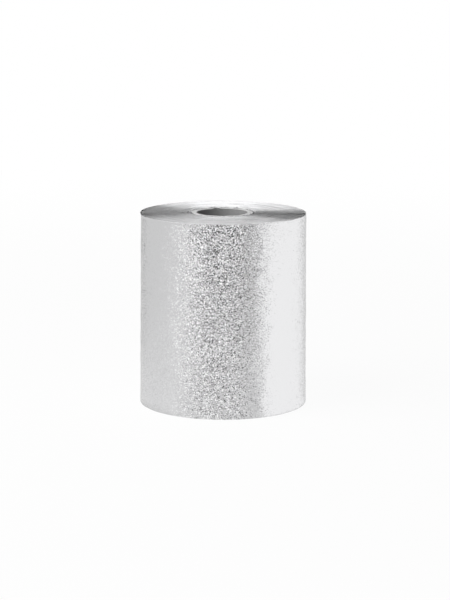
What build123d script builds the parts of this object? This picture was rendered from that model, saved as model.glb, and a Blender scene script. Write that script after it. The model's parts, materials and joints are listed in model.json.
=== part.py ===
# A roll of embossed aluminium foil, wound on a spiral-wound paperboard core and standing on its end.
#
# Millimetres. +Z runs up along the core's axis, and the origin is where that axis meets the surface
# that the roll stands on. -Y is the front of the roll. The foil's free end lies round the back.
#
# The foil is one continuous web. It is cut here where its job changes: the first turn that is taped
# to the core, the wound pack, the outermost turn, and the free end that lifts when foil is drawn off.

import os
from math import cos, degrees, radians, sin

from build123d import *

# Driving dimensions of the roll
foil_width = 120.0
roll_diameter = 104.0
core_bore_diameter = 31.0

# Core: plies of paper wound side by side at an angle, each with a helical butt seam
ply_count = 8
ply_pitch = 0.5
glue_line = 0.04
seam_gap = 0.5
seam_rise_per_turn = 70.0
inner_seam_angle_at_top = 103.0
seam_stagger_angle = 135.0
cutter_overrun = 10.0

# Foil. The web itself is about 0.015 mm thick, and a full roll holds about a thousand turns of it, lying
# loosely on one another's embossing. The model has far fewer turns. Each is thick enough to make a
# sound solid, and stands for the dozen or so real ones between it and the next.
foil_thickness = 0.25
whole_turns = 79
butt_gap = 0.1

# Where the web starts on the core, and where its free end leaves the roll, as angles from +X
foil_start_angle = 180.0
tail_root_angle = 85.0
tail_tip_angle = 135.0
hinge_gap = 0.15

# Adhesive strip that holds the web's start on the core
tape_width = 12.0
tape_thickness = 0.1
tape_end_margin = 4.0
tape_gap = 0.05

# Radii that follow
bore_radius = core_bore_diameter / 2
core_radius = bore_radius + ply_count * ply_pitch
lead_turn_radius = core_radius + 2 * tape_gap + tape_thickness
part_turn = (tail_root_angle - foil_start_angle) % 360 / 360
turns_to_outer = whole_turns + part_turn
turn_step = (roll_diameter / 2 - foil_thickness - lead_turn_radius) / (turns_to_outer + 0.5)
pack_inner_radius = lead_turn_radius + turn_step
outer_turn_radius = lead_turn_radius + turns_to_outer * turn_step
pack_outer_radius = outer_turn_radius - (turn_step - foil_thickness)


def direction(angle):
    """The unit vector at an angle in degrees from +X."""
    return Vector(cos(radians(angle)), sin(radians(angle)))


def turn_quarters(start_radius, start_angle):
    """The centre, radius and start angle of the four quarter circles that make one wound turn.

    Each quarter's centre lies a quarter of the step from the last one's, on the line through the
    point where they meet, so the turn is smooth and ends one whole step further out.
    """
    shift = turn_step / 4
    meeting = [direction(start_angle + 90 * quarter) for quarter in (1, 2, 3, 4)]
    centre = (meeting[0] * 3 + meeting[1] * 2 + meeting[2]) * (shift / 4)
    quarters = []
    for quarter in range(4):
        quarters.append((centre, start_radius + quarter * shift, start_angle + 90 * quarter))
        centre = centre - meeting[quarter] * shift
    return quarters


def draw_turn(start_radius, start_angle, start_trim=0.0, end_trim=0.0):
    """Draws one wound turn as four arcs, shortened at its ends by two lengths along the web."""
    arcs = []
    for quarter, (centre, radius, angle) in enumerate(turn_quarters(start_radius, start_angle)):
        cut_first = degrees(start_trim / radius) if quarter == 0 else 0.0
        cut_last = degrees(end_trim / radius) if quarter == 3 else 0.0
        arcs.append(CenterArc(centre, radius, angle + cut_first, 90 - cut_first - cut_last))
    return arcs


def draw_sheet_turn(inner_radius, start_angle, start_trim, end_trim):
    """Draws the closed outline of one turn of foil, seen along the core's axis."""
    inner_arcs = draw_turn(inner_radius, start_angle, start_trim, end_trim)
    outer_arcs = draw_turn(inner_radius + foil_thickness, start_angle, start_trim, end_trim)
    Line(inner_arcs[0] @ 0, outer_arcs[0] @ 0)
    Line(inner_arcs[-1] @ 1, outer_arcs[-1] @ 1)


def draw_stepped_turn(start_radius, start_angle):
    """Draws a closed turn whose end drops back to its start in one small step."""
    arcs = draw_turn(start_radius, start_angle)
    Line(arcs[-1] @ 1, arcs[0] @ 0)


def ply_name(ply_number):
    """The node's name for a ply, counted from the bore outwards."""
    if ply_number == 0:
        return "core_inner_ply"
    if ply_number == ply_count - 1:
        return "core_outer_ply"
    return f"core_middle_ply_{ply_number}"


os.makedirs("parts", exist_ok=True)

# Core plies: eight thin tubes inside one another, each slit by its own helical seam. A ply is drawn
# with its seam starting at +X, below the foot, and then turned to bring the seam's top end round.
for ply_number in range(ply_count):
    ply_inner_radius = bore_radius + ply_number * ply_pitch
    ply_thickness = ply_pitch - glue_line
    with BuildPart() as core_ply:
        with BuildSketch(Plane.XY):
            Circle(ply_inner_radius + ply_thickness)
            Circle(ply_inner_radius, mode=Mode.SUBTRACT)
        extrude(amount=foil_width)

        with BuildLine() as seam:
            Helix(
                pitch=seam_rise_per_turn,
                height=foil_width + 2 * cutter_overrun,
                radius=ply_inner_radius + ply_thickness / 2,
                center=(0, 0, -cutter_overrun),
            )
        with BuildSketch(Plane(origin=seam.line @ 0, x_dir=(1, 0, 0), z_dir=seam.line % 0)):
            Rectangle(2 * ply_pitch, seam_gap)
        sweep(path=seam.line, is_frenet=True, mode=Mode.SUBTRACT)

    seam_turn = 360 * (foil_width + cutter_overrun) / seam_rise_per_turn
    seam_angle_at_top = inner_seam_angle_at_top + ply_number * seam_stagger_angle
    turned_ply = core_ply.part.rotate(Axis.Z, seam_angle_at_top - seam_turn)
    turned_ply.label = ply_name(ply_number)
    export_step(turned_ply, f"parts/{ply_name(ply_number)}.step")

# Start tape: a strip along the core, under the first turn of foil
with BuildPart() as core_start_tape:
    tape_inner_radius = core_radius + tape_gap
    tape_angle = degrees(tape_width / tape_inner_radius)
    with BuildSketch(Plane.XY.offset(tape_end_margin)):
        with BuildLine():
            tape_inside = CenterArc((0, 0), tape_inner_radius, foil_start_angle, tape_angle)
            tape_outside = CenterArc(
                (0, 0), tape_inner_radius + tape_thickness, foil_start_angle, tape_angle
            )
            Line(tape_inside @ 0, tape_outside @ 0)
            Line(tape_inside @ 1, tape_outside @ 1)
        make_face()
    extrude(amount=foil_width - 2 * tape_end_margin)
core_start_tape.part.label = "core_start_tape"
export_step(core_start_tape.part, "parts/core_start_tape.step")

# Lead turn: the web's first turn, from its cut edge on the tape to where the pack takes over
with BuildPart() as foil_lead_turn:
    with BuildSketch(Plane.XY):
        with BuildLine():
            draw_sheet_turn(lead_turn_radius, foil_start_angle, butt_gap, butt_gap)
        make_face()
    extrude(amount=foil_width)
foil_lead_turn.part.label = "foil_lead_turn"
export_step(foil_lead_turn.part, "parts/foil_lead_turn.step")

# Pack: all the turns in between, with the small step of one turn inside and outside
with BuildPart() as foil_pack:
    with BuildSketch(Plane.XY):
        with BuildLine():
            draw_stepped_turn(pack_outer_radius, tail_root_angle)
        make_face()
        with BuildLine():
            draw_stepped_turn(pack_inner_radius, foil_start_angle)
        make_face(mode=Mode.SUBTRACT)
    extrude(amount=foil_width)
foil_pack.part.label = "foil_pack"
export_step(foil_pack.part, "parts/foil_pack.step")

# Outer turn: the outermost whole turn, which stops just short of the free end's bend line
with BuildPart() as foil_outer_turn:
    with BuildSketch(Plane.XY):
        with BuildLine():
            draw_sheet_turn(
                outer_turn_radius, tail_root_angle, butt_gap, foil_thickness / 2 + hinge_gap
            )
        make_face()
    extrude(amount=foil_width)
foil_outer_turn.part.label = "foil_outer_turn"
export_step(foil_outer_turn.part, "parts/foil_outer_turn.step")

# Tail: the free end, resting round the turn beneath it and bending out about a vertical line.
# Its root is a round bead on that line, so that it turns without touching the outer turn's end.
tail_centre = turn_quarters(outer_turn_radius, tail_root_angle)[0][0]
tail_inner_radius = outer_turn_radius + turn_step
tail_angle = tail_tip_angle - tail_root_angle
bend_line = tail_centre + direction(tail_root_angle) * (tail_inner_radius + foil_thickness / 2)
with BuildPart() as foil_tail:
    with BuildSketch(Plane.XY):
        with BuildLine():
            tail_inside = CenterArc(tail_centre, tail_inner_radius, tail_root_angle, tail_angle)
            tail_outside = CenterArc(
                tail_centre, tail_inner_radius + foil_thickness, tail_root_angle, tail_angle
            )
            Line(tail_inside @ 0, tail_outside @ 0)
            Line(tail_inside @ 1, tail_outside @ 1)
        make_face()
        with Locations(bend_line):
            Circle(foil_thickness / 2)
    extrude(amount=foil_width)
foil_tail.part.label = "foil_tail"
export_step(foil_tail.part, "parts/foil_tail.step")

print("bore radius", bore_radius, "core radius", core_radius, "turn step", round(turn_step, 4))
print("pack from radius", round(pack_inner_radius, 3), "to", round(pack_outer_radius, 3))
print("bend line at x, y", round(bend_line.X, 4), round(bend_line.Y, 4))
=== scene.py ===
# A roll of embossed aluminium foil on a spiral-wound paperboard core, standing on its end.
# Metres, +Z up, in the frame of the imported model. The front of the roll faces -Y.

import json
import math

import bpy
import numpy as np
from mathutils import Matrix, Vector


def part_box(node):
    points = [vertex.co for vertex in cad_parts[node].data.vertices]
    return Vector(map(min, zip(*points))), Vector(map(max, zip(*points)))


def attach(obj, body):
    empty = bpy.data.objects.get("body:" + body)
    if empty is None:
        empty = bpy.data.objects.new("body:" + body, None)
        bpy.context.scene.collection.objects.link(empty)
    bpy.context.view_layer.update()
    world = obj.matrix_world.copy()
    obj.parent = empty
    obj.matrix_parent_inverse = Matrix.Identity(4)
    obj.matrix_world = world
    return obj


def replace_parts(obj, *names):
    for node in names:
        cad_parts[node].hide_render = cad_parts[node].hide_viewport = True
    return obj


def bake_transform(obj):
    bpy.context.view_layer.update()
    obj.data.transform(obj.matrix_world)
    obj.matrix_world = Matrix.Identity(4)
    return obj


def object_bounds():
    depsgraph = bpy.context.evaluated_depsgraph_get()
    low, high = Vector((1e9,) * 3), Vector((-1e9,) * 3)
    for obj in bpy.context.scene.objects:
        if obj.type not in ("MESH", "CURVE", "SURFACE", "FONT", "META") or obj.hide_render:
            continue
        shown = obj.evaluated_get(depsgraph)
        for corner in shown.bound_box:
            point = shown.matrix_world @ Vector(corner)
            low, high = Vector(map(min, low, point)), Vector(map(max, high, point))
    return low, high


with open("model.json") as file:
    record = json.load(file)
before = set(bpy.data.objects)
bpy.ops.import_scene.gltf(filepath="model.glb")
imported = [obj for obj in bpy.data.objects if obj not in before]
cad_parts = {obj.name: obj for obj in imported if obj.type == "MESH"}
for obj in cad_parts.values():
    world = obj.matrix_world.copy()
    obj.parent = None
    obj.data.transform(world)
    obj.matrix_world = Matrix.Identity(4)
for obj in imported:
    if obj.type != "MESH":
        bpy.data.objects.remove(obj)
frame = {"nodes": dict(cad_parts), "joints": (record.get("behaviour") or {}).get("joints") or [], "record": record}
cadLow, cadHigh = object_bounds()

mm = 0.001
fullTurn = 2 * math.pi

# Sizes read from the frame.
mounts = {mount["name"]: mount for mount in frame["record"]["mounts"]}
tailHinge = frame["joints"][0]
hingePlace = np.array(tailHinge["pos_m"])
rollHeight = cadHigh.z
boreRadius = mounts["core_bore"]["dims"]["r_mm"] * mm
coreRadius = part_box("core_outer_ply")[1].x
hingeRadius = math.hypot(hingePlace[0], hingePlace[1])

web = {
    "wholeTurns": 79,  # turns from the web's start to the outermost one, as the model counts them
    "startAngle": math.radians(180.0),  # where the web starts on the core
    "coreClearance": 0.24 * mm,  # the adhesive strip and the air beside it
    "bodyThickness": 0.25 * mm,  # what one embossed turn takes up
    "sheetThickness": 0.10 * mm,  # how thick the free end and the first turn look
    "looseness": 0.45 * mm,  # the outermost turn is this much wider at its foot, and narrower on top
    "offCentre": 0.9 * mm,  # how far the outermost turn sits towards +X of the core's axis
    "bendGap": 0.05 * mm,  # how far short of the free end's bend the outermost turn stops
}
tailRootAngle = math.atan2(hingePlace[1], hingePlace[0])
leadRadius = coreRadius + web["coreClearance"]
turnsToOuter = web["wholeTurns"] + (tailRootAngle - web["startAngle"]) % fullTurn / fullTurn
turnStep = (hingeRadius - web["bodyThickness"] / 2 - leadRadius) / (turnsToOuter + 1)


def webRadius(turn, angle, height):
    # The web's inner face is a spiral, one step further out for each turn from its start. The further
    # out a turn is, the more it is off centre, and the wider at its foot and the narrower on top.
    share = turn / (turnsToOuter + 1)
    loose = web["looseness"] * (1 - 2 * height / rollHeight)
    return leadRadius + turnStep * turn + share * (loose + web["offCentre"] * np.cos(angle))


def webAngle(turn):
    # The web's bearing from the core's axis: where it starts, and a full circle more for each turn.
    return web["startAngle"] + fullTurn * turn


def makeObject(name, points, faces, body=None):
    # A mesh from an array of points and a list of faces, smooth all over, riding on a body.
    mesh = bpy.data.meshes.new(name)
    mesh.from_pydata(points.reshape(-1, 3).tolist(), [], faces)
    mesh.validate()
    mesh.shade_smooth()
    piece = bpy.data.objects.new(name, mesh)
    bpy.context.scene.collection.objects.link(piece)
    if body:
        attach(piece, body)
    return piece


def gridFaces(rows, columns, wrapRows=False):
    # Quads between neighbouring rows and columns; a wrap joins the last row to the first.
    index = np.arange(rows * columns).reshape(rows, columns)
    if wrapRows:
        index = np.vstack([index, index[:1]])
    corners = [index[:-1, :-1], index[:-1, 1:], index[1:, 1:], index[1:, :-1]]
    return np.stack(corners, axis=-1).reshape(-1, 4).tolist()


def polar(radius, angle, height):
    # Points from radius, angle and height, as one array with x, y, z last.
    radius, angle, height = np.broadcast_arrays(radius, angle, height)
    return np.stack([radius * np.cos(angle), radius * np.sin(angle), height], axis=-1)


def makeSheet(name, outer, inner, body):
    # A closed sheet from two grids of points: the outer face rises row by row, the inner face comes
    # down again in rows of its own, and each end of the sheet is capped. The caps' edges and the outer
    # face's lower edge are sharp, so that the shading doesn't run round them.
    points = np.concatenate([outer, inner[::-1]])
    rows, columns = points.shape[:2]
    faces = gridFaces(rows, columns, wrapRows=True)
    start = np.arange(rows) * columns
    faces.append(start[::-1].tolist())
    faces.append((start + columns - 1).tolist())
    piece = makeObject(name, points, faces, body)
    edges = np.zeros(2 * len(piece.data.edges), int)
    piece.data.edges.foreach_get("vertices", edges)
    edges = edges.reshape(-1, 2)
    first, second = (edges % columns).T
    atCap = (first == second) & ((first == 0) | (first == columns - 1))
    atFoot = (edges < columns).all(axis=1)
    sharp = piece.data.attributes.new("sharp_edge", "BOOLEAN", "EDGE")
    sharp.data.foreach_set("value", atCap | atFoot)
    return piece


def bandNoise(rng, shape, spacing, shortest, longest):
    # Random heights kept to one band of wavelengths, at unit strength: a white field is filtered by
    # its distance from zero frequency, and the fourth powers make both ends of the band steep. It
    # joins up with itself at opposite edges.
    field = np.fft.rfft2(rng.standard_normal(shape))
    rowWaves = np.fft.fftfreq(shape[0], spacing[0])[:, None]
    columnWaves = np.fft.rfftfreq(shape[1], spacing[1])[None, :]
    waves = np.hypot(rowWaves, columnWaves)
    keep = np.exp(-((waves * shortest) ** 4)) * (1 - np.exp(-((waves * longest) ** 4)))
    field = np.fft.irfft2(field * keep, s=shape)
    return field / field.std()


def smoothRandom(rng, count, knotStep):
    # Random values at every knot, joined by smooth steps.
    knots = rng.standard_normal(count // knotStep + 3)
    place = np.arange(count) / knotStep
    first = place.astype(int)
    share = place - first
    share = share * share * (3 - 2 * share)
    return knots[first] * (1 - share) + knots[first + 1] * share


def linearColour(hexCode):
    # sRGB hex to linear red, green, blue and alpha.
    channels = [int(hexCode[place : place + 2], 16) / 255 for place in (1, 3, 5)]
    linear = [c / 12.92 if c <= 0.04045 else ((c + 0.055) / 1.055) ** 2.4 for c in channels]
    return (*linear, 1.0)


def grey(level):
    # A neutral colour of one level, already linear.
    return (level, level, level, 1.0)


def addNode(tree, kind, inputs=None, **settings):
    # One shader node. inputs maps a socket's name or number to a value or to another node's output.
    node = tree.nodes.new(kind)
    for name, value in settings.items():
        setattr(node, name, value)
    for socket, value in (inputs or {}).items():
        if isinstance(value, bpy.types.NodeSocket):
            tree.links.new(value, node.inputs[socket])
        else:
            node.inputs[socket].default_value = value
    return node


def newMaterial(name):
    # A node material with nothing in it yet, and its tree.
    material = bpy.data.materials.new(name)
    material.use_nodes = True
    material.node_tree.nodes.clear()
    return material, material.node_tree


def wear(piece, material):
    # Gives a piece its material.
    piece.data.materials.clear()
    piece.data.materials.append(material)


foilLook = {
    "colour": "#C9C9CA",  # bright rolled aluminium, greyed by its own small shadows
    "edgeTint": "#F0F0F0",  # pebbles hide one another at a glancing angle, so the rim stays dull
    "roughness": 0.12,
    "facetSize": (0.46 * mm, 0.37 * mm),  # across and up the web, as coarse as they need to be to show
    "facetTilt": (0.34, 0.85),  # from one extreme slope to the other, sideways and up or down
}


def embossedFoil():
    # Aluminium foil, bright-rolled and embossed: a mirror broken into small flat facets, each tilted
    # its own way. The facets are the finest part of the embossing, over the pebbles in the mesh.
    material, tree = newMaterial("embossed_aluminium_foil")
    place = addNode(tree, "ShaderNodeTexCoord")
    across, up = foilLook["facetSize"]
    squeezed = addNode(
        tree,
        "ShaderNodeVectorMath",
        {0: place.outputs["Object"], 1: (1 / across, 1 / across, 1 / up)},
        operation="MULTIPLY",
    )
    facets = addNode(tree, "ShaderNodeTexVoronoi", {"Vector": squeezed.outputs["Vector"], "Scale": 1.0})
    # Each facet's random colour, less its middle value, is the way that it leans.
    way = addNode(
        tree,
        "ShaderNodeVectorMath",
        {0: facets.outputs["Color"], 1: (0.5, 0.5, 0.5)},
        operation="SUBTRACT",
    )
    sideways, upDown = foilLook["facetTilt"]
    lean = addNode(
        tree,
        "ShaderNodeVectorMath",
        {0: way.outputs["Vector"], 1: (sideways, sideways, upDown)},
        operation="MULTIPLY",
    )
    surface = addNode(tree, "ShaderNodeNewGeometry")
    tilted = addNode(
        tree, "ShaderNodeVectorMath", {0: surface.outputs["Normal"], 1: lean.outputs["Vector"]}
    )
    normal = addNode(tree, "ShaderNodeVectorMath", {0: tilted.outputs["Vector"]}, operation="NORMALIZE")
    shader = addNode(
        tree,
        "ShaderNodeBsdfPrincipled",
        {
            "Base Color": linearColour(foilLook["colour"]),
            "Metallic": 1.0,
            "Roughness": foilLook["roughness"],
            "Specular Tint": linearColour(foilLook["edgeTint"]),
            "Normal": normal.outputs["Vector"],
        },
    )
    addNode(tree, "ShaderNodeOutputMaterial", {"Surface": shader.outputs["BSDF"]})
    return material


edgeLook = {
    "edge": "#C6C6C7",  # aluminium, a little duller than the web's face because it is cut
    # The gap colour is painted shade in the gaps between the turns' edges.
    "gap": "#5A5A5C",
    "gapTop": (0.25, 0.6),  # from the gap's floor, 0, to the edge's crest, 1: where dark turns to bright
    "roughness": 0.44,
    "anisotropy": 0.87,
    "sheenTurn": 0.25,  # the share of a full circle by which the sheen is turned from the tangent
}


def slitFoilEdges():
    # The slit edges of the wound foil: bright lines side by side, with painted shade between them for the light
    # that goes down into the gaps and is lost.
    material, tree = newMaterial("slit_foil_edges")
    crest = addNode(tree, "ShaderNodeAttribute", attribute_name="crest")
    out = addNode(
        tree,
        "ShaderNodeMapRange",
        {
            "Value": crest.outputs["Fac"],
            "From Min": edgeLook["gapTop"][0],
            "From Max": edgeLook["gapTop"][1],
        },
        interpolation_type="SMOOTHSTEP",
    )
    along = addNode(tree, "ShaderNodeTangent", direction_type="RADIAL", axis="Z")
    # Painted shade in the gaps, bright aluminium on the edges.
    shade = addNode(
        tree,
        "ShaderNodeMix",
        {
            "Factor": out.outputs["Result"],
            "A": linearColour(edgeLook["gap"]),
            "B": linearColour(edgeLook["edge"]),
        },
        data_type="RGBA",
    )
    shader = addNode(
        tree,
        "ShaderNodeBsdfPrincipled",
        {
            "Base Color": shade.outputs["Result"],
            "Metallic": 1.0,
            "Roughness": edgeLook["roughness"],
            "Anisotropic": edgeLook["anisotropy"],
            "Anisotropic Rotation": edgeLook["sheenTurn"],
            "Tangent": along.outputs["Tangent"],
        },
    )
    addNode(tree, "ShaderNodeOutputMaterial", {"Surface": shader.outputs["BSDF"]})
    return material


paperLook = {
    "roughness": 0.9,
    "fibreSize": 0.8 * mm,  # clumps of fibre, because single ones are too fine to show
    "fibreDetail": 3.0,
    "bumpStrength": 0.5,
    "bumpDepth": 0.05 * mm,
}


def fibrousPaper(name, dark, pale):
    # Uncoated board or tissue: matt, and mottled where its fibres lie thicker.
    material, tree = newMaterial(name)
    place = addNode(tree, "ShaderNodeTexCoord")
    fibres = addNode(
        tree,
        "ShaderNodeTexNoise",
        {
            "Vector": place.outputs["Object"],
            "Scale": 1 / paperLook["fibreSize"],
            "Detail": paperLook["fibreDetail"],
        },
    )
    mottle = addNode(
        tree,
        "ShaderNodeMix",
        {
            "Factor": fibres.outputs["Fac"],
            "A": linearColour(dark),
            "B": linearColour(pale),
        },
        data_type="RGBA",
    )
    bump = addNode(
        tree,
        "ShaderNodeBump",
        {
            "Height": fibres.outputs["Fac"],
            "Strength": paperLook["bumpStrength"],
            "Distance": paperLook["bumpDepth"],
        },
    )
    shader = addNode(
        tree,
        "ShaderNodeBsdfPrincipled",
        {
            "Base Color": mottle.outputs["Result"],
            "Roughness": paperLook["roughness"],
            "Normal": bump.outputs["Normal"],
        },
    )
    addNode(tree, "ShaderNodeOutputMaterial", {"Surface": shader.outputs["BSDF"]})
    return material


foilMaterial = embossedFoil()
edgeMaterial = slitFoilEdges()
boardMaterial = fibrousPaper("spiral_wound_paperboard", "#D3D3D3", "#E9E9E9")  # pale at its cut end
# The innermost ply gets a darker copy of the board: painted shade for the inside of the bore.
boreShadeBoardMaterial = fibrousPaper("paperboard_painted_bore_shade", "#858585", "#9C9C9C")  # darkens the bore
tapeMaterial = fibrousPaper("adhesive_tissue_tape", "#DAD8D2", "#EFEEEA")  # a warmer white strip
print("materials made")

embossing = {
    "seed": 11,
    "columns": 520,  # steps round one turn, 0.63 mm each
    "rows": 180,  # steps up the roll, 0.67 mm each
    "pebbleBand": (1.3 * mm, 3.5 * mm),  # shortest and longest distance between pebbles
    "pebbleDepth": 0.015 * mm,
    "creaseWidth": 0.5,  # against the random field's strength of 1
    "grainBand": (1.0 * mm, 2.5 * mm),
    "grainDepth": 0.012 * mm,
    "swellBand": (8 * mm, 30 * mm),
    "swellDepth": 0.05 * mm,
    "backDepth": 0.21 * mm,  # how far the smooth inner face lies behind the outer one, before its relief
    "backRows": [0, 3, -6, -3, -2, -1],  # the rows that the inner face keeps
    "rimLean": 0.08 * mm,  # how far the slit rim turns outwards
    "rimShift": 0.28 * mm,  # how far the whole rim is pushed towards -X
    "rimReach": 1.5 * mm,  # how far down the rim's lean fades out
    "seamReach": 2.0 * mm,  # how far from the free end's bend the relief fades in
}


def embossedRelief(columns, seed):
    # Pebbles are the flat tops between creases, and a crease runs wherever a random field is near
    # zero. A finer grain lies over them, and slow swells show how the web was pulled.
    shape = (embossing["rows"] + 1, columns)
    spacing = (rollHeight / embossing["rows"], fullTurn * hingeRadius / embossing["columns"])
    rng = np.random.default_rng(seed)
    field = bandNoise(rng, shape, spacing, *embossing["pebbleBand"])
    creases = np.exp(-((field / embossing["creaseWidth"]) ** 2))
    grain = bandNoise(rng, shape, spacing, *embossing["grainBand"])
    swell = bandNoise(rng, shape, spacing, *embossing["swellBand"])
    relief = embossing["grainDepth"] * grain + embossing["swellDepth"] * swell
    return relief - embossing["pebbleDepth"] * creases


def flushAt(distance):
    # One minus a bell curve of the distance from a seam, which takes the relief down to nothing there,
    # so that the two pieces meet.
    return 1 - np.exp(-((distance / embossing["seamReach"]) ** 2))


def rimOffset(angle, height):
    # The rim leans outwards by a bell curve of the distance below it, and as a whole it is pushed
    # towards -X, by the cosine of the bearing.
    fade = np.exp(-(((rollHeight - height) / embossing["rimReach"]) ** 2))
    return (embossing["rimLean"] - embossing["rimShift"] * np.cos(angle)) * fade


def makeOuterTurn():
    # The web's spiral over one whole turn, moved outwards by its own thickness, the rim's lean and the
    # relief. The inner face has no relief.
    columns = embossing["columns"]
    trim = web["bendGap"] / hingeRadius / fullTurn
    turn = turnsToOuter + np.linspace(0.0, 1.0 - trim, columns + 1)[None, :]
    angle = webAngle(turn)
    height = np.linspace(0.0, rollHeight, embossing["rows"] + 1)[:, None]
    relief = embossedRelief(columns + 1, embossing["seed"])
    relief = relief * flushAt((turn[:, -1:] - turn) * fullTurn * hingeRadius)
    skin = webRadius(turn, angle, height) + web["bodyThickness"] + rimOffset(angle, height)
    outer = polar(skin + relief, angle, height)
    innerHeight = height[embossing["backRows"]]
    back = webRadius(turn, angle, innerHeight) + web["bodyThickness"] + rimOffset(angle, innerHeight)
    inner = polar(back - embossing["backDepth"], angle, innerHeight)
    piece = makeSheet("outer_turn", outer, inner, "roll")
    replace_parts(piece, "foil_outer_turn")
    wear(piece, foilMaterial)
    print("outer turn made,", len(piece.data.polygons), "faces")


tail = {
    "tipAngle": math.radians(135.0),  # where the free end stops
    "tipLift": 0.6 * mm,  # how far the tip stands off the turn beneath
    "tipWave": 0.25 * mm,  # and how much that differs up the roll
    "waveRows": 45,  # rows from one wave to the next
    "bendLength": 9 * mm,  # the length of the free end's bend
}


def makeTail():
    # The spiral's last part, from the bend to the tip. It lifts off the roll by the cube of its share
    # of the way there, and by a random amount that changes slowly up the roll.
    columns = round(embossing["columns"] * (tail["tipAngle"] - tailRootAngle) / fullTurn)
    share = np.linspace(0.0, 1.0, columns + 1)[None, :]
    angle = tailRootAngle + (tail["tipAngle"] - tailRootAngle) * share
    turn = turnsToOuter + 1 + (angle - tailRootAngle) / fullTurn
    height = np.linspace(0.0, rollHeight, embossing["rows"] + 1)[:, None]
    rng = np.random.default_rng(embossing["seed"] + 1)
    wave = smoothRandom(rng, embossing["rows"] + 1, tail["waveRows"])[:, None]
    lift = (tail["tipLift"] + tail["tipWave"] * wave) * share**3
    relief = embossedRelief(columns + 1, embossing["seed"] + 1)
    relief = relief * flushAt((angle - tailRootAngle) * hingeRadius)
    skin = webRadius(turn, angle, height) + web["bodyThickness"] + rimOffset(angle, height) + lift
    outer = polar(skin + relief, angle, height)
    inner = polar(skin + relief - web["sheetThickness"], angle, height)
    piece = makeSheet("tail", outer, inner, None)
    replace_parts(piece, "foil_tail")
    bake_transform(piece)
    wear(piece, foilMaterial)
    print("tail made")


pack = {
    "seed": 21,
    "columns": 288,  # steps round one turn
    "clearance": 0.07 * mm,  # how far its walls stand back from the turns beside it
    "gapDepth": 0.09 * mm,
    "gapUneven": 0.25,  # how much one gap's depth differs along the web
    "gapSteps": 30,  # and over how many steps
    "gapLeast": 0.04 * mm,
    "looseInside": 0.5,  # the share of gapDepth that gaps have at the core; at the rim it is 1 more
    "crest": 0.7,  # where a turn's edge stands between one gap and the next, going outwards
    "bandHeight": 0.07 * mm,  # how far some turns stand proud of others
    "bandTurns": 5,  # turns from one slow rise of the end face to the next
    "edgeHeight": 0.04 * mm,  # how uneven a turn's own edge is
    "edgeSteps": 12,
    "footGap": 0.02 * mm,  # gaps at the foot end at least this far above the surface beneath
}


def makePack():
    # The end face is one ribbon wound from the core outwards. Line 0 is the gap before a turn and
    # line 1 the turn's edge; line 0 one turn later is the gap after it, so the turns share points.
    # The turns are drawn several times coarser than real foil, so that the edges can be seen.
    perTurn = pack["columns"]
    rng = np.random.default_rng(pack["seed"])
    steps = round((turnsToOuter - 1) * perTurn)
    gapTurn = 1 + np.arange(steps + perTurn + 1) / perTurn
    edgeTurn = gapTurn[: steps + 1]
    sides = []
    for face, up in ((rollHeight, True), (0.0, False)):
        bandKnots = rng.standard_normal(web["wholeTurns"] + 4)
        band = np.interp(gapTurn, np.arange(len(bandKnots)), bandKnots)
        slowBand = smoothRandom(rng, len(gapTurn), pack["bandTurns"] * perTurn)
        band = pack["bandHeight"] * (band + slowBand)
        loose = pack["looseInside"] + gapTurn / turnsToOuter
        uneven = 1 + pack["gapUneven"] * smoothRandom(rng, len(gapTurn), pack["gapSteps"])
        gapDepth = pack["gapDepth"] * loose * uneven
        edgeRise = pack["edgeHeight"] * smoothRandom(rng, len(edgeTurn), pack["edgeSteps"])
        gaps = band - np.maximum(gapDepth, pack["gapLeast"])
        edges = band[: steps + 1] + edgeRise
        if up:
            gapHeight, edgeHeight = face + gaps, face + edges
        else:
            gapHeight = np.maximum(-gaps, pack["footGap"])
            edgeHeight = np.maximum(-edges, 0.0)
        gapRadius = webRadius(gapTurn, webAngle(gapTurn), face) - pack["clearance"]
        edgeRadius = webRadius(edgeTurn + pack["crest"], webAngle(edgeTurn), face) - pack["clearance"]
        gapPoints = polar(gapRadius, webAngle(gapTurn), gapHeight)
        edgePoints = polar(edgeRadius, webAngle(edgeTurn), edgeHeight)
        sides.append(np.concatenate([gapPoints, edgePoints]))
    points = np.concatenate(sides)
    perSide = len(sides[0])
    firstEdge = len(gapTurn)
    here, after = np.arange(steps), np.arange(steps) + 1
    inwards = [here, after, firstEdge + after, firstEdge + here]
    outwards = [firstEdge + here, firstEdge + after, perTurn + after, perTurn + here]
    top = np.concatenate([np.stack(inwards, axis=1), np.stack(outwards, axis=1)])[:, ::-1]
    bottom = top[:, ::-1] + perSide
    innerLoop = [*range(perTurn + 1), firstEdge]
    outerLoop = [*range(steps, steps + perTurn + 1), firstEdge + steps]
    walls = []
    for loop, flip in ((innerLoop, False), (outerLoop, True)):
        for one, two in zip(loop, loop[1:] + loop[:1]):
            quad = [one, two, two + perSide, one + perSide]
            walls.append(quad[::-1] if flip else quad)
    piece = makeObject("wound_pack", points, top.tolist() + bottom.tolist() + walls, "roll")
    piece.data.shade_flat()
    # The crest attribute, 0 at the gaps and 1 on the edges, is the mask for the painted shade in the gaps.
    crestLayer = piece.data.attributes.new("crest", "FLOAT", "POINT")
    crestLayer.data.foreach_set("value", np.tile(np.arange(perSide) >= firstEdge, 2).astype(float))
    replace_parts(piece, "foil_pack")
    wear(piece, edgeMaterial)
    print("pack made,", len(piece.data.polygons), "faces")


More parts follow.
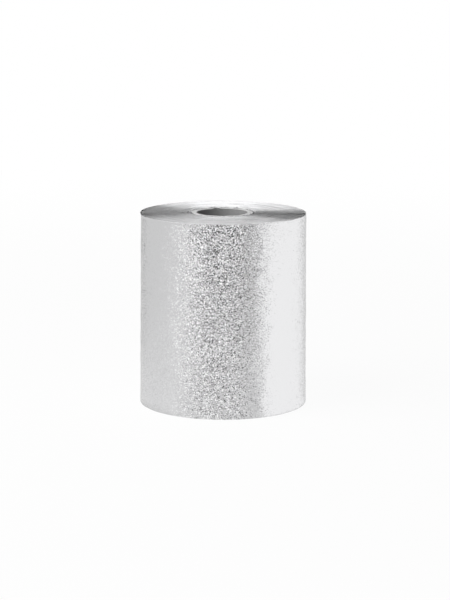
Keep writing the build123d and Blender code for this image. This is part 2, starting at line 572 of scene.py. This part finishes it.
core = {
    "seed": 31,
    "plies": 8,
    "columns": 120,
    "rows": 56,
    "evenShare": 0.5,  # how much of the rows' spacing is even, where the rest crowds them at the ends
    "sharpAngle": math.radians(40.0),
    "plyThickness": 0.46 * mm,
    "seamGap": 0.05 * mm,
    "seamRise": 70.0 * mm,  # how far a seam climbs in one turn
    "innerSeamAngle": math.radians(103.0),  # where the innermost seam comes out on top
    "seamStagger": math.radians(135.0),  # from one ply's seam to the next
    "frayWidth": 0.15 * mm,  # extra gap at the ends of a seam
    "frayReach": 1.3 * mm,
    "fuzz": 0.04 * mm,  # how uneven the cut ends are
    "tuftRise": 0.8 * mm,  # the innermost ply stands up beside its seam
    "tuftReach": 1.6 * mm,
}


def makePly(number):
    # A ply runs once round from one side of its seam to the other. The seam climbs as a helix, and
    # opens into a frayed notch at the ends. Rows lie closer together near the ends.
    plyStep = (coreRadius - boreRadius - core["plyThickness"]) / (core["plies"] - 1)
    innerRadius = boreRadius + number * plyStep
    rng = np.random.default_rng(core["seed"] + number)
    rise = np.linspace(0.0, 1.0, core["rows"] + 1)[:, None]
    crowded = 0.5 * (1 - np.cos(math.pi * rise))
    rise = core["evenShare"] * rise + (1 - core["evenShare"]) * crowded
    height = rollHeight * rise
    fromEnd = np.minimum(height, rollHeight - height)
    gap = core["seamGap"] + core["frayWidth"] * np.exp(-((fromEnd / core["frayReach"]) ** 2))
    halfGap = gap / 2 / innerRadius
    seam = core["innerSeamAngle"] + number * core["seamStagger"]
    seam = seam - fullTurn * (rollHeight - height) / core["seamRise"]
    share = np.linspace(0.0, 1.0, core["columns"] + 1)[None, :]
    angle = seam + halfGap + (fullTurn - 2 * halfGap) * share
    fuzz = core["fuzz"] * np.abs(rng.standard_normal((2, core["columns"] + 1)))
    height = np.repeat(height, core["columns"] + 1, axis=1)
    height[0] += fuzz[0]
    height[-1] -= fuzz[1]
    if number == 0:
        fromSeam = innerRadius * fullTurn * np.minimum(share[0], 1 - share[0])
        height[-1] += core["tuftRise"] * np.exp(-((fromSeam / core["tuftReach"]) ** 2))
    outer = polar(innerRadius + core["plyThickness"], angle, height)
    inner = polar(innerRadius, angle, height)
    piece = makeSheet("core_ply_" + str(number + 1), outer, inner, "roll")
    piece.data.set_sharp_from_angle(angle=core["sharpAngle"])
    # The innermost ply, which faces the bore, wears the board with painted shade.
    wear(piece, boreShadeBoardMaterial if number == 0 else boardMaterial)
    return piece


def makeCore():
    # The eight plies, from the bore outwards.
    middle = [f"core_middle_ply_{number}" for number in range(1, core["plies"] - 1)]
    nodes = ["core_inner_ply", *middle, "core_outer_ply"]
    for number, node in enumerate(nodes):
        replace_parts(makePly(number), node)
    print("core made")


lead = {
    "seed": 41,
    "columns": 300,
    "rows": 60,
    "trim": 0.001,  # the share of the turn that is left off at each end
    "cornerRise": 1.2 * mm,
    "cornerLean": -0.5 * mm,  # towards the core
    "cornerReach": 3.0 * mm,  # how far from the corner, along the web and down it, that fades out
    "crumpleRise": 0.35 * mm,
    "riseColumns": 3,  # columns from one crumple to the next
    "crumpleLean": 0.35 * mm,
    "leanColumns": 2,
    "crumpleReach": 1.2 * mm,  # how far down the crumples go
}


def makeLeadTurn():
    # The web's first turn. Its upper edge is crumpled: each stretch leans and stands up by a random
    # amount, and the corner at the web's start does so most.
    turn = np.linspace(lead["trim"], 1 - lead["trim"], lead["columns"] + 1)[None, :]
    height = rollHeight * np.sin(np.linspace(0.0, math.pi / 2, lead["rows"] + 1))[:, None]
    fromStart = turn * fullTurn * leadRadius
    corner = np.exp(-((fromStart / lead["cornerReach"]) ** 2))
    corner = corner * np.exp(-(((rollHeight - height) / lead["cornerReach"]) ** 2))
    rng = np.random.default_rng(lead["seed"])
    rim = np.exp(-(((rollHeight - height) / lead["crumpleReach"]) ** 2))
    leans = smoothRandom(rng, lead["columns"] + 1, lead["leanColumns"])
    rises = np.abs(smoothRandom(rng, lead["columns"] + 1, lead["riseColumns"]))
    lean = rim * lead["crumpleLean"] * leans
    rise = rim * lead["crumpleRise"] * rises
    skin = webRadius(turn, webAngle(turn), height) + web["bodyThickness"]
    skin = skin + lead["cornerLean"] * corner + np.minimum(lean, lead["crumpleLean"])
    raised = height + lead["cornerRise"] * corner + rise
    outer = polar(skin, webAngle(turn), raised)
    inner = polar(skin - web["sheetThickness"], webAngle(turn), raised)
    piece = makeSheet("lead_turn", outer, inner, "roll")
    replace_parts(piece, "foil_lead_turn")
    wear(piece, foilMaterial)
    print("lead turn made")


makeOuterTurn()
makeTail()
makePack()
makeCore()
makeLeadTurn()
wear(frame["nodes"]["core_start_tape"], tapeMaterial)

studio = {
    "roomDark": 0.0,  # level of the room's light from its darkest side
    "roomBright": 0.95,  # and from its brightest side
    "roomSide": (-0.8, -0.6, 0.0),  # where the brightest side lies
    "roomDusk": -0.2,  # the cosine, from that side, past which the room is at its darkest
    "floorHalf": 7.0,
    "floorDrop": 0.1 * mm,  # keeps the roll's foot clear of the floor
    "floorColour": "#F5F5F5",
    "floorWhite": (0.95, 1.0),  # how much the floor is lifted to white close to the roll, and far away
    "floorReach": (0.2, 1.2),  # distances from the core's axis between which that changes
    "keySize": 1.2,  # metres along each side
    "keyPower": 16.0,  # watts
    "keyPlace": (-0.95, -0.5, 0.95),
    "arcPoints": 7,  # how finely the cards are drawn, up
    "cardColumns": 25,  # and round
}


def skyArc(distance, low, high):
    # A card's profile at one distance from the roll's foot, between two elevations in degrees.
    steps = np.radians(np.linspace(low, high, studio["arcPoints"]))
    return [(distance * math.cos(step), distance * math.sin(step)) for step in steps]


# Bearing 0 is straight in front of the roll, and it grows to the right. The fades are the shares of a
# card's size over which its low-bearing side, its high-bearing side and its top fade out.
cards = [
    {
        "name": "right_bounce",
        "bearing": (50, 165),
        "profile": [(0.0537, 0.0001), (0.16, 0.0004), (0.22, 0.03), (0.25, 0.12), (0.26, 0.22)],
        "brightness": 1.43,
        "fades": (0.09, 0.29, 0.1),
    },
    {
        "name": "left_bounce",
        "bearing": (-175, -50),
        "profile": [(0.0537, 0.0001), (0.2, 0.0004)],
        "brightness": 1.17,
        "fades": (0.15, 0.15, 0.6),
    },
    {
        "name": "front_grey",
        "bearing": (24, 84),
        "profile": [(0.2, 0.0006), (0.35, 0.05), (0.35, 0.6)],
        "brightness": 0.74,
        "fades": (0.5, 0.5, 0.1),
    },
    {
        "name": "front_flag",
        "bearing": (-56, 58),
        "profile": [(0.3, 0.001), (1.5, 0.002), (1.5, 0.42)],
        "brightness": 0.01,
        "fades": (0.35, 0.35, 0.02),
    },
    {
        "name": "front_softbox",
        "bearing": (-95, 50),
        "profile": [(1.5, 0.43), (1.2, 1.0)],
        "brightness": 1.85,
        "fades": (0.3, 0.3, 0.1),
    },
    {
        "name": "back_softbox",
        "bearing": (169, 197),
        "profile": skyArc(2.9, 19, 59),
        "brightness": 4.4,
        "fades": (0.35, 0.35, 0.3),
    },
    {
        "name": "left_softbox",
        "bearing": (188, 264),
        "profile": skyArc(2.95, 34, 63),
        "brightness": 1.5,
        "fades": (0.3, 0.3, 0.2),
    },
    {
        "name": "right_softbox",
        "bearing": (95, 172),
        "profile": skyArc(3.0, 39, 60),
        "brightness": 1.5,
        "fades": (0.2, 0.2, 0.2),
    },
    {
        "name": "overhead_softbox",
        "bearing": (95, 265),
        "profile": skyArc(3.05, 50, 88),
        "brightness": 3.0,
        "fades": (0.1, 0.1, 0.1),
    },
    {
        "name": "back_flag",
        "bearing": (111, 219),
        "profile": skyArc(3.2, -3, 59),
        "brightness": 0.0,
        "fades": (0.15, 0.06, 0.15),
    },
]


def makeCard(card):
    # A flag or reflector that only shiny surfaces see: a profile of distance and height carried
    # round the roll, which fades out towards its edges. Close to the roll each bearing is turned back
    # by asin(roll's radius * sin(bearing / 2) / distance), so that its edge mirrors as a plumb line.
    material, tree = newMaterial(card["name"])
    place = addNode(tree, "ShaderNodeUVMap", uv_map="card")
    parts = addNode(tree, "ShaderNodeSeparateXYZ", {"Vector": place.outputs["UV"]})
    cover = 1.0
    for part, edge, reach in zip(("X", "X", "Y"), (0.0, 1.0, 1.0), card["fades"]):
        fade = addNode(
            tree,
            "ShaderNodeMapRange",
            {"Value": parts.outputs[part], "From Min": edge, "From Max": abs(edge - reach)},
            interpolation_type="SMOOTHSTEP",
        )
        share = addNode(tree, "ShaderNodeMath", {0: cover, 1: fade.outputs["Result"]}, operation="MULTIPLY")
        cover = share.outputs[0]
    clear = addNode(tree, "ShaderNodeBsdfTransparent")
    glow = addNode(tree, "ShaderNodeEmission", {"Color": grey(card["brightness"]), "Strength": 1.0})
    mix = addNode(tree, "ShaderNodeMixShader", {0: cover, 1: clear.outputs[0], 2: glow.outputs[0]})
    addNode(tree, "ShaderNodeOutputMaterial", {"Surface": mix.outputs["Shader"]})
    across = np.linspace(0.0, 1.0, studio["cardColumns"])
    bearing = np.radians(card["bearing"][0] + (card["bearing"][1] - card["bearing"][0]) * across)
    distance, height = np.array(card["profile"]).T
    turned = np.arcsin(hingeRadius * np.sin(bearing[None, :] / 2) / distance[:, None])
    points = polar(distance[:, None], bearing[None, :] - turned - fullTurn / 4, height[:, None])
    along = np.concatenate([[0.0], np.cumsum(np.hypot(np.diff(distance), np.diff(height)))])
    u, v = np.meshgrid(across, along / along[-1])
    panel = makeObject(card["name"], points, gridFaces(*u.shape))
    corners = np.zeros(len(panel.data.loops), int)
    panel.data.loops.foreach_get("vertex_index", corners)
    layer = panel.data.uv_layers.new(name="card")
    layer.data.foreach_set("uv", np.stack([u.ravel()[corners], v.ravel()[corners]], axis=1).ravel())
    panel.data.materials.append(material)
    panel.visible_camera = False
    panel.visible_diffuse = False
    panel.visible_transmission = False
    panel.visible_shadow = False


def seenDirectly(tree):
    # 1 for camera, glossy and transmission rays, 0 for the rays that light matt surfaces.
    path = addNode(tree, "ShaderNodeLightPath")
    seen = path.outputs["Is Camera Ray"]
    for name in ("Is Glossy Ray", "Is Transmission Ray"):
        either = addNode(tree, "ShaderNodeMath", {0: seen, 1: path.outputs[name]}, operation="MAXIMUM")
        seen = either.outputs[0]
    return seen


def makeFloor():
    # A white paper sheet that keeps some of the roll's shadow. Near the roll a little less of it is
    # lifted to white than far away.
    half, drop = studio["floorHalf"], studio["floorDrop"]
    corners = [(-half, -half, -drop), (half, -half, -drop), (half, half, -drop), (-half, half, -drop)]
    floor = makeObject("floor", np.array(corners), [(0, 1, 2, 3)])
    material, tree = newMaterial("white_paper_sweep")
    paper = addNode(tree, "ShaderNodeBsdfDiffuse", {"Color": linearColour(studio["floorColour"])})
    white = addNode(tree, "ShaderNodeEmission", {"Color": grey(1.0), "Strength": 1.0})
    place = addNode(tree, "ShaderNodeTexCoord")
    distance = addNode(tree, "ShaderNodeVectorMath", {0: place.outputs["Object"]}, operation="LENGTH")
    lifted = addNode(
        tree,
        "ShaderNodeMapRange",
        {
            "Value": distance.outputs["Value"],
            "From Min": studio["floorReach"][0],
            "From Max": studio["floorReach"][1],
            "To Min": studio["floorWhite"][0],
            "To Max": studio["floorWhite"][1],
        },
        interpolation_type="SMOOTHSTEP",
    )
    share = addNode(
        tree, "ShaderNodeMath", {0: lifted.outputs["Result"], 1: seenDirectly(tree)}, operation="MULTIPLY"
    )
    mix = addNode(
        tree, "ShaderNodeMixShader", {0: share.outputs[0], 1: paper.outputs[0], 2: white.outputs[0]}
    )
    addNode(tree, "ShaderNodeOutputMaterial", {"Surface": mix.outputs["Shader"]})
    floor.data.materials.append(material)


def makeLamp(name, place, size, power):
    # A square area lamp that faces the middle of the roll.
    lamp = bpy.data.lights.new(name, "AREA")
    lamp.shape = "SQUARE"
    lamp.size = size
    lamp.energy = power
    holder = bpy.data.objects.new(name, lamp)
    aim = Vector((0, 0, rollHeight / 2)) - Vector(place)
    holder.location = place
    holder.rotation_euler = aim.to_track_quat("-Z", "Y").to_euler()
    holder.visible_camera = False
    holder.visible_glossy = False
    bpy.context.scene.collection.objects.link(holder)


def makeWorld():
    # White where it is seen. What it gives to matt surfaces is brighter on one side than on the other,
    # by the cosine of the angle from the brightest side.
    world = bpy.data.worlds.new("studio")
    bpy.context.scene.world = world
    world.use_nodes = True
    tree = world.node_tree
    tree.nodes.clear()
    place = addNode(tree, "ShaderNodeTexCoord")
    towards = addNode(
        tree,
        "ShaderNodeVectorMath",
        {0: place.outputs["Generated"], 1: studio["roomSide"]},
        operation="DOT_PRODUCT",
    )
    level = addNode(
        tree,
        "ShaderNodeMapRange",
        {
            "Value": towards.outputs["Value"],
            "From Min": studio["roomDusk"],
            "To Min": studio["roomDark"],
            "To Max": studio["roomBright"],
        },
    )
    strength = addNode(
        tree, "ShaderNodeMath", {0: level.outputs["Result"], 1: seenDirectly(tree)}, operation="MAXIMUM"
    )
    sky = addNode(tree, "ShaderNodeBackground", {"Color": grey(1.0), "Strength": strength.outputs[0]})
    addNode(tree, "ShaderNodeOutputWorld", {"Surface": sky.outputs["Background"]})


view = {
    "distance": 1.196,  # from the core's axis
    "height": 0.2909,  # above the surface that the roll stands on
    "pitch": 10.73,  # degrees down from level
    "yaw": 0.0565,  # degrees to the right
    "roll": 0.193,  # degrees about its own line of sight
    "lens": 116.14,  # millimetres
    "clipEnd": 50,
}


def makeCamera():
    # A camera in front of the roll's outermost turn, turned, tipped and rolled in that order.
    camera = bpy.data.cameras.new("camera")
    camera.lens = view["lens"]
    camera.clip_end = view["clipEnd"]
    holder = bpy.data.objects.new("camera", camera)
    holder.location = (web["offCentre"], -view["distance"], view["height"])
    aim = Matrix.Rotation(math.radians(-view["yaw"]), 3, "Z")
    aim = aim @ Matrix.Rotation(math.radians(90 - view["pitch"]), 3, "X")
    aim = aim @ Matrix.Rotation(math.radians(view["roll"]), 3, "Z")
    holder.rotation_euler = aim.to_euler()
    bpy.context.scene.collection.objects.link(holder)
    bpy.context.scene.camera = holder


makeFloor()
makeWorld()
makeLamp("key_softbox", studio["keyPlace"], studio["keySize"], studio["keyPower"])
for card in cards:
    makeCard(card)
makeCamera()
bpy.context.scene.view_settings.view_transform = "Standard"
print("stage made")
